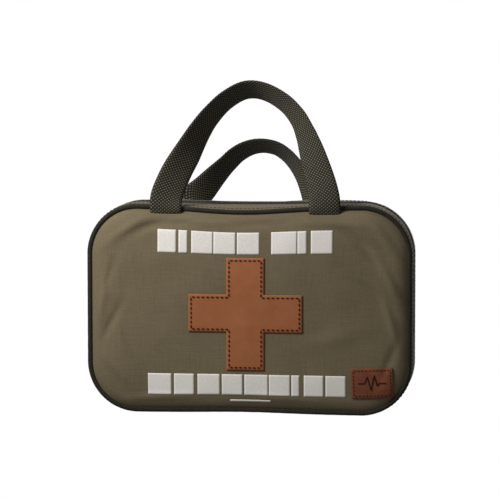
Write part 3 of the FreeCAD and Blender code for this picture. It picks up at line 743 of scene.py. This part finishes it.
CROSS_LOW, CROSS_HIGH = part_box("leather_cross")
CROSS_X = (CROSS_LOW.x + CROSS_HIGH.x) / 2
CROSS_Z = (CROSS_LOW.z + CROSS_HIGH.z) / 2
SPAN = (CROSS_HIGH.x - CROSS_LOW.x) / 2
ARM = SPAN / 3


def in_cross(x, z):
    """How far a point is in from the cross's edge."""
    dx = abs(x - CROSS_X)
    dz = abs(z - CROSS_Z)
    return max(min(SPAN - dx, ARM - dz), min(ARM - dx, SPAN - dz))


def stitches(name, path, pitch, length, proud, closed=True, radius=0.33 * MM):
    """Thread stitches along a path of x, z corners: each is a short fat bar sunk at its ends."""
    vertices = []
    faces = []
    corners = path + path[:1] if closed else path
    for (ax, az), (bx, bz) in zip(corners, corners[1:]):
        run = math.hypot(bx - ax, bz - az)
        count = max(1, round(run / pitch))
        tx, tz = (bx - ax) / run, (bz - az) / run
        for k in range(count):
            middle = (k + 0.5) / count * run
            base = len(vertices)
            for i in range(5):
                along = middle + (i / 4 - 0.5) * length
                x = ax + tx * along
                z = az + tz * along
                rise = proud + radius * (1.1 - 1.3 * abs(i / 2 - 1) ** 2.5)
                fat = radius * (1.0 if 0 < i < 4 else 0.6)
                for j in range(HEX):
                    turn = math.pi / 3 * j
                    side = fat * math.cos(turn)
                    up = fat * math.sin(turn)
                    vertices.append(on_panel(x - tz * side, z + tx * side, rise + up))
            faces += bead_faces(base, 5, flip=True)
    return make(name, vertices, faces, THREAD)


def leather_pieces():
    """The cross and the label, their edges and their thread."""
    cross = patch("cross_leather", in_cross, (CROSS_X - SPAN, CROSS_Z - SPAN),
                  (CROSS_X + SPAN, CROSS_Z + SPAN), 1.0 * MM, 0.9 * MM, 1.1 * MM, LEATHER,
                  puff=0.6 * MM, rim=1.6 * MM)
    cross.data.materials.append(LEATHER_EDGE)
    cross.modifiers["thickness"].material_offset_rim = 1
    soften(cross, 0.25 * MM)
    settle(cross, "front_half", "leather_brown", "leather_cross")
    margin = 2.4 * MM
    arm = ARM - margin
    span = SPAN - margin
    quarter = [(arm, span), (arm, arm), (span, arm)]
    path = []
    for k in range(4):
        turn = -math.pi / 2 * k
        for x, z in quarter:
            path.append((CROSS_X + x * math.cos(turn) - z * math.sin(turn),
                         CROSS_Z + x * math.sin(turn) + z * math.cos(turn)))
    settle(stitches("cross_thread", path, 3.6 * MM, 2.5 * MM, 1.5 * MM, radius=0.44 * MM),
           "front_half", "thread_dark", "cross_stitching")

    low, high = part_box("leather_label")
    cx = (low.x + high.x) / 2
    cz = (low.z + high.z) / 2
    half_wide, half_high = 16.5 * MM, 12 * MM
    tilt = math.radians(2)

    def turned(x, z):
        dx, dz = x - cx, z - cz
        return (dx * math.cos(tilt) + dz * math.sin(tilt), -dx * math.sin(tilt) + dz * math.cos(tilt))

    def in_label(x, z):
        u, v = turned(x, z)
        corner = 1.8 * MM
        qx = abs(u) - (half_wide - corner)
        qz = abs(v) - (half_high - corner)
        return corner - math.hypot(max(qx, 0), max(qz, 0)) - min(max(qx, qz), 0)

    label = patch("label_leather", in_label, (cx - 18 * MM, cz - 14 * MM), (cx + 18 * MM, cz + 14 * MM),
                  0.5 * MM, 0.8 * MM, 1.0 * MM, LABEL, puff=0.5 * MM, rim=1.4 * MM)
    label.data.materials.append(LEATHER_EDGE)
    label.modifiers["thickness"].material_offset_rim = 1
    settle(label, "front_half", "leather_brown", "leather_label")

    def at(u, v):
        return (cx + u * math.cos(tilt) - v * math.sin(tilt), cz + u * math.sin(tilt) + v * math.cos(tilt))

    inset = 2.1 * MM
    frame_path = [at(a * (half_wide - inset), b * (half_high - inset))
                  for a, b in ((-1, -1), (1, -1), (1, 1), (-1, 1))]
    settle(stitches("label_thread", frame_path, 2.9 * MM, 1.9 * MM, 1.3 * MM, radius=0.26 * MM),
           "front_half", "thread_dark", "label_stitching")
    pulse = [(-11, 0), (-6, 0), (-3.6, 5.2), (-1, -5.6), (1.8, 6.4), (4, -2.2), (5.4, 0), (11, 0)]
    mark = stitches("label_pulse_mark", [at(u * MM, v * MM) for u, v in pulse], 0.9 * MM, 1.0 * MM,
                    1.2 * MM, closed=False, radius=0.42 * MM)
    settle(mark, "front_half", "thread_dark")


def printed():
    """Plain printed blocks where the bag has its printed rows, each a thin film on the canvas."""
    cell = 1.2 * MM
    for node in ("print_upper", "print_lower", "print_line"):
        vertices = []
        faces = []
        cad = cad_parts[node].data
        islands = {}
        parent = list(range(len(cad.vertices)))

        def root(i):
            while parent[i] != i:
                i = parent[i]
            return i

        for edge in cad.edges:
            parent[root(edge.vertices[0])] = root(edge.vertices[1])
        for vertex in cad.vertices:
            islands.setdefault(root(vertex.index), []).append(vertex.co)
        spans = {}
        for points in islands.values():
            key = (round(min(p.x for p in points), 5), round(max(p.x for p in points), 5))
            low_z, high_z = spans.get(key, (1.0, 0.0))
            spans[key] = (min([low_z] + [p.z for p in points]), max([high_z] + [p.z for p in points]))
        for (x0, x1), (z0, z1) in sorted(spans.items()):
            if x1 - x0 < 1 * MM:
                continue
            columns = max(3, round((x1 - x0) / cell))
            rows = max(3, round((z1 - z0) / cell))
            base = len(vertices)
            for i in range(rows):
                for j in range(columns):
                    x = x0 + (x1 - x0) * j / (columns - 1)
                    z = z0 + (z1 - z0) * i / (rows - 1)
                    vertices.append(on_panel(x, z, 0.22 * MM))
            faces += [tuple(base + n for n in face) for face in lattice_faces(rows, columns)]
        piece = make(node + "_film", vertices, faces, INK)
        thicken(piece, 0.2 * MM)
        settle(piece, "front_half", "print_white", node)


leather_pieces()
printed()


# ---------------------------------------------------------------- inside the bag

def lining(half):
    """The coated cloth that covers the inside of one half, with a few soft wrinkles."""
    seed = 3 if half == "front" else 17

    def depth(x, z):
        calm = min(1, max(0, edge_distance(x, z) - 4 * MM) / (10 * MM))
        wave = noise.noise(Vector((x * 34 + seed, z * 34, 1.0))) * 0.35
        wave += noise.noise(Vector((x * 110, z * 60 + seed, 5.0))) * 0.12
        return SIGN[half] * (LINING + calm * wave * MM)

    piece = ring_sheet(half + "_lining_cloth", SEAM, 40, 1, depth, LINER, half == "front")
    thicken(piece, 0.6 * MM)
    settle(piece, half + "_half", "lining_grey", half + "_lining")
    binding = ring_tube(half + "_binding_tape", 2.3 * MM, SIGN[half] * 30.0 * MM, 1.1 * MM, 0.12,
                        segments=10)
    settle(binding, half + "_half", "piping_black", half + "_seam_binding")


POCKET_LOW, POCKET_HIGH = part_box("front_mesh_pocket")
POCKET_SIDE = POCKET_HIGH.x
POCKET_FOOT = POCKET_LOW.z
POCKET_FACE = -POCKET_HIGH.y


def pocket_point(half, across, up, top):
    """A point of a pocket front. across runs from one sewn side to the other, up from foot to top."""
    sign = SIGN[half]
    wall = 13.5 * MM
    total = 2 * (POCKET_SIDE + wall)
    run = abs(across - 0.5) * total
    bend = 5 * MM
    beyond = max(0.0, run - (POCKET_SIDE - bend))
    turn = min(1.0, beyond / (wall + bend))
    x = min(run, POCKET_SIDE - bend) + bend * math.sin(min(1.0, turn * 2) * math.pi / 2)
    depth = POCKET_FACE + (wall + 1.2 * MM) * turn ** 1.6
    foot = max(0.0, 1 - up / 0.04)
    depth += (LINING - 0.6 * MM - depth) * foot ** 1.5
    wave = noise.noise(Vector((across * 9, up * 2.5, 4.0 + sign))) * 0.9
    depth -= wave * MM * (1 - foot) * (1 - turn) * (1 - up * 0.4)
    z = POCKET_FOOT + (top - POCKET_FOOT) * up
    return (math.copysign(x, across - 0.5), sign * depth, z)


def net_pocket():
    """The front half's pocket: an open net whose holes are diamonds."""
    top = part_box("front_mesh_pocket")[1].z
    columns = 92
    rows = 74
    vertices = [pocket_point("front", min(1, max(0, (j + 0.5 * (i % 2)) / columns)), i / rows, top)
                for i in range(rows + 1) for j in range(columns + 1)]
    faces = []
    wide = columns + 1
    for i in range(1, rows):
        for j in range(1, columns):
            shift = i % 2
            a = (i - 1) * wide + j + shift
            b = i * wide + j + 1
            c = (i + 1) * wide + j + shift
            d = i * wide + j
            faces.append((a, b, c, d))
    piece = make("mesh_pocket_net", vertices, faces, NET)
    net = piece.modifiers.new("net", "WIREFRAME")
    net.thickness = 0.42 * MM
    net.use_even_offset = False
    settle(piece, "front_half", "mesh_black", "front_mesh_pocket")


def vinyl_pocket():
    """The back half's pocket, in clear film."""
    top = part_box("back_clear_pocket")[1].z
    columns = 120
    rows = 75
    vertices = [pocket_point("back", j / columns, i / rows, top)
                for i in range(rows + 1) for j in range(columns + 1)]
    piece = make("clear_pocket_film", vertices, lattice_faces(rows + 1, columns + 1), VINYL)
    thicken(piece, 0.35 * MM)
    settle(piece, "back_half", "clear_vinyl", "back_clear_pocket")


def pocket_hem(name, node, half, material, slot, gathers):
    """The band over a pocket's open top, gathered where it is elastic."""
    low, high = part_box(node)
    columns = 420
    rows = 7
    sign = SIGN[half]
    outer = abs(low.y + high.y) / 2
    vertices = []
    for i in range(rows):
        up = i / (rows - 1)
        for j in range(columns + 1):
            across = j / columns
            x, y, _ = pocket_point(half, 0.035 + across * 0.93, 1.0, high.z)
            ripple = gathers * math.sin(across * 430) * (0.6 + 0.4 * math.sin(across * 61))
            depth = abs(y) - 0.7 * MM - ripple * MM * math.sin(math.pi * up) ** 0.5
            depth = min(depth, outer + 14 * MM)
            vertices.append((x, sign * depth, low.z + (high.z - low.z) * up))
    piece = make(name, vertices, lattice_faces(rows, columns + 1), material)
    thicken(piece, 1.0 * MM, 0.0)
    settle(piece, half + "_half", slot, node)


def pillow(name, centre, size, material, seed, crumple=0.0, seam=3.5 * MM):
    """A sealed pack: two films that bulge between flat crimped edges."""
    columns = 40
    rows = 40
    cx, cy, cz = centre
    wide, deep, high = size
    vertices = []
    for face in (-1, 1):
        for i in range(rows + 1):
            for j in range(columns + 1):
                u = j / columns * 2 - 1
                v = i / rows * 2 - 1
                inside = min((1 - abs(u)) * wide / 2, (1 - abs(v)) * high / 2)
                swell = min(1.0, max(0.0, inside - seam) / (9 * MM))
                swell = math.sqrt(1 - (1 - swell) ** 2)
                crimp = 0.18 * MM * math.sin(v * high * 2600) if inside < seam else 0.0
                rough = noise.noise(Vector((u * wide * 90 + seed, v * high * 90, face * 2.0)))
                rough += 0.5 * noise.noise(Vector((u * wide * 240, v * high * 240 + seed, face * 5.0)))
                out = 0.12 * MM + (deep / 2 - 0.12 * MM) * swell
                out -= abs(rough) * crumple * swell
                vertices.append((cx + u * wide / 2, cy + face * max(out, 0.1 * MM) + crimp,
                                 cz + v * high / 2))
    wide_row = columns + 1
    sheet = (rows + 1) * wide_row
    front = lattice_faces(rows + 1, wide_row)
    faces = front + [tuple(sheet + n for n in face[::-1]) for face in front]
    rim = list(range(wide_row)) + [i * wide_row + columns for i in range(1, rows + 1)]
    rim += [rows * wide_row + j for j in range(columns - 1, -1, -1)]
    rim += [i * wide_row for i in range(rows - 1, 0, -1)]
    for a, b in zip(rim, rim[1:] + rim[:1]):
        faces.append((b, a, a + sheet, b + sheet))
    return make(name, vertices, faces, material)


def packs(name, node, half, slot, material, count=1, **form):
    """One pack or a stack of them, in the room that their CAD node has."""
    low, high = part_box(node)
    deep = (high.y - low.y) / count
    made = []
    for k in range(count):
        lean = random.uniform(-0.6, 0.6) * MM if count > 1 else 0
        short = 1.5 * MM * (k % 2)
        centre = ((low.x + high.x) / 2 + lean, low.y + (k + 0.5) * deep, (low.z + high.z - short) / 2)
        size = (high.x - low.x - 2 * abs(lean), deep * 0.94, high.z - low.z - short)
        made.append(pillow(name, centre, size, material, k * 7.3, **form))
    settle(join(made, name), half + "_half", slot, node)


def bandage_roll(name, node, slot, material, turns, weave):
    """A bandage wound on itself, upright, with its loose end on the outside."""
    low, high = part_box(node)
    cx = (low.x + high.x) / 2
    cy = (low.y + high.y) / 2
    outer = (high.x - low.x) / 2
    cloth_thick = (outer - 2 * MM) / turns
    per_turn = 44
    steps = per_turn * turns
    rows = 14
    vertices = []
    for k in range(steps + 1):
        along = k / per_turn
        radius = 2 * MM + cloth_thick * along * 0.985
        turn = 2 * math.pi * along + 2.2
        for i in range(rows + 1):
            up = i / rows
            uneven = noise.noise(Vector((along * 3.1, up * 4, turns))) * 0.22 * MM
            end = noise.noise(Vector((along * 2.3, 5.0, turns))) * 0.5 * MM * (2 * up - 1)
            r = min(radius + uneven, outer - 0.3 * MM)
            z = low.z + 0.6 * MM + (high.z - low.z - 1.2 * MM) * up - end
            z = min(max(z, low.z), high.z)
            vertices.append((cx + r * math.cos(turn), cy + r * math.sin(turn), z))
    piece = make(name, vertices, lattice_faces(steps + 1, rows + 1), material)
    thicken(piece, cloth_thick * weave, 0.0)
    settle(piece, "back_half", slot, node)


def roll_loops():
    """An elastic band over each roll, with its two ends sewn flat to the lining."""
    bands = []
    rows = 11
    width = 20 * MM
    base_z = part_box("bandage_loops")[0].z
    for node in ("bandage_roll_wide", "bandage_roll_narrow", "elastic_bandage"):
        low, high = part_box(node)
        cx = (low.x + high.x) / 2
        cy = (low.y + high.y) / 2
        r = (high.x - low.x) / 2 + 0.55 * MM
        foot = LINING - 0.7 * MM
        path = [(cx - r, foot)]
        for k in range(41):
            turn = math.pi + math.pi * k / 40
            path.append((cx + r * math.cos(turn), cy + r * math.sin(turn)))
        path.append((cx + r, foot))
        vertices = []
        for i in range(rows):
            rib = 0.16 * MM * (i % 2)
            for x, y in path:
                out = Vector((x - cx, min(y - cy, 0)))
                out = out.normalized() * rib if out.length else out
                vertices.append((x + out.x, y + out.y, base_z + width * i / (rows - 1)))
        bands.append(make("roll_loop", vertices, lattice_faces(rows, len(path)), ELASTIC))
    piece = join(bands, "roll_loop_bands")
    thicken(piece, 0.8 * MM, 0.0)
    settle(piece, "back_half", "elastic_black", "bandage_loops")


def tape():
    """The tape roll, turned, with the edges of its windings as fine steps on both faces."""
    low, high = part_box("tape_roll")
    cx = (low.x + high.x) / 2
    cz = (low.z + high.z) / 2
    outer = (high.x - low.x) / 2
    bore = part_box("tape_core")[1].x - cx + 0.1 * MM
    steps = 22
    profile = [(bore, low.y + 0.2 * MM)]
    for k in range(steps):
        r = bore + (outer - bore) * (k + 0.5) / steps
        profile.append((r, low.y + (0.05 if k % 2 else 0.30) * MM))
    profile += [(outer, low.y + 0.5 * MM), (outer, high.y - 0.5 * MM)]
    for k in range(steps):
        r = outer - (outer - bore) * (k + 0.5) / steps
        profile.append((r, high.y - (0.05 if k % 2 else 0.30) * MM))
    profile.append((bore, high.y - 0.2 * MM))
    around = 96
    turns = [2 * math.pi * j / around for j in range(around)]
    vertices = [(cx + r * math.cos(turn), y, cz + r * math.sin(turn)) for turn in turns for r, y in profile]
    faces = lattice_faces(around, len(profile), close_rows=True, close_columns=True)
    piece = make("tape_windings", vertices, faces, CLOTH_TAPE)
    settle(piece, "back_half", "tape_white", "tape_roll")


def finish_cad(material, width, *nodes):
    """Gives CAD pieces that stay their material and rounded edges."""
    for node in nodes:
        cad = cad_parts[node]
        cad.data.materials.clear()
        cad.data.materials.append(material)
        soften(cad, width)


lining("front")
lining("back")
net_pocket()
vinyl_pocket()
pocket_hem("mesh_pocket_hem", "mesh_pocket_elastic", "front", ELASTIC, "elastic_black", 0.42)
pocket_hem("clear_pocket_band", "clear_pocket_hem", "back", PIPE, "piping_black", 0.0)
packs("triangular_bandage_pack", "triangular_bandage", "front", "bandage_white", GAUZE, crumple=1.2 * MM)
packs("thermal_blanket_pack", "thermal_blanket", "front", "foil_silver", SILVER, crumple=2.6 * MM)
packs("burn_dressing_pouch", "burn_dressing", "back", "wrapper_blue", BLUE_FILM, crumple=0.8 * MM)
packs("gloves_pouch", "gloves_pack", "back", "wrapper_white", WHITE_FILM, crumple=1.4 * MM)
packs("gauze_pouches", "gauze_pads", "back", "wrapper_white", WHITE_FILM, 5, crumple=0.2 * MM,
      seam=5 * MM)
packs("plaster_wrappers", "plaster_strips", "back", "bandage_tan", PLASTER, 6, seam=4 * MM)
packs("wipe_sachets", "cleansing_wipes", "back", "wrapper_blue", BLUE_FILM, 4, crumple=0.1 * MM,
      seam=4 * MM)
bandage_roll("wide_bandage_roll", "bandage_roll_wide", "bandage_white", GAUZE, 9, 0.7)
bandage_roll("narrow_bandage_roll", "bandage_roll_narrow", "bandage_white", GAUZE, 10, 0.7)
bandage_roll("crepe_bandage_roll", "elastic_bandage", "bandage_tan", CREPE, 7, 0.75)
roll_loops()
tape()
finish_cad(METAL, 0.25 * MM, "slider_upper", "slider_lower", "pull_upper", "pull_lower", "zip_end_stops")
finish_cad(STEEL, 0.25 * MM, "scissors_blade_left", "scissors_blade_right", "scissors_rivet", "tweezers")
finish_cad(ELASTIC, 0.3 * MM, "tool_loops", "tape_strap")
finish_cad(CARD, 0.2 * MM, "tape_core")


# ---------------------------------------------------------------- light and camera

def seen_or_lit(tree, seen, lit):
    """A strength with one value for what the camera sees, and another for all other rays."""
    path = tree.nodes.new("ShaderNodeLightPath")
    mix = tree.nodes.new("ShaderNodeMapRange")
    mix.inputs["To Min"].default_value = lit
    mix.inputs["To Max"].default_value = seen
    tree.links.new(path.outputs["Is Camera Ray"], mix.inputs["Value"])
    return mix.outputs["Result"]


def studio():
    """White all round, and a soft key light from the upper left."""
    world = bpy.data.worlds.new("studio_world")
    bpy.context.scene.world = world
    world.use_nodes = True
    tree = world.node_tree
    tree.nodes["Background"].inputs["Color"].default_value = (1, 1, 1, 1)
    tree.links.new(seen_or_lit(tree, 1.0, 0.25), tree.nodes["Background"].inputs["Strength"])
    # Name, place, size in metres and power in watts.
    lights = (("key_light", (-0.34, -0.37, 0.47), 0.2, 4.7), ("top_light", (-0.05, 0.1, 0.95), 0.5, 3.2),
              ("back_light", (0.5, 0.9, 0.6), 0.6, 5.0))
    for name, place, size, power in lights:
        lamp = bpy.data.lights.new(name, "AREA")
        lamp.size = size
        lamp.energy = power
        made = bpy.data.objects.new(name, lamp)
        made.location = place
        aim = Vector((0, 0, 0.1)) - Vector(place)
        made.rotation_euler = aim.to_track_quat("-Z", "Y").to_euler()
        bpy.context.scene.collection.objects.link(made)


def camera():
    """A long lens, a little to the right of the bag and a little above its middle."""
    azimuth = math.radians(7.0)
    elevation = math.radians(5.0)
    distance = 2.0
    target = Vector((1.6 * MM, -40 * MM, 129.5 * MM))
    back = Vector((math.sin(azimuth) * math.cos(elevation), -math.cos(azimuth) * math.cos(elevation),
                   math.sin(elevation)))
    lens = bpy.data.cameras.new("camera")
    lens.sensor_width = 36
    lens.lens = 184.6
    made = bpy.data.objects.new("camera", lens)
    made.location = target + back * distance
    made.rotation_euler = (-back).to_track_quat("-Z", "Y").to_euler()
    bpy.context.scene.collection.objects.link(made)
    bpy.context.scene.camera = made


studio()
camera()
bpy.context.scene.view_settings.view_transform = "Standard"
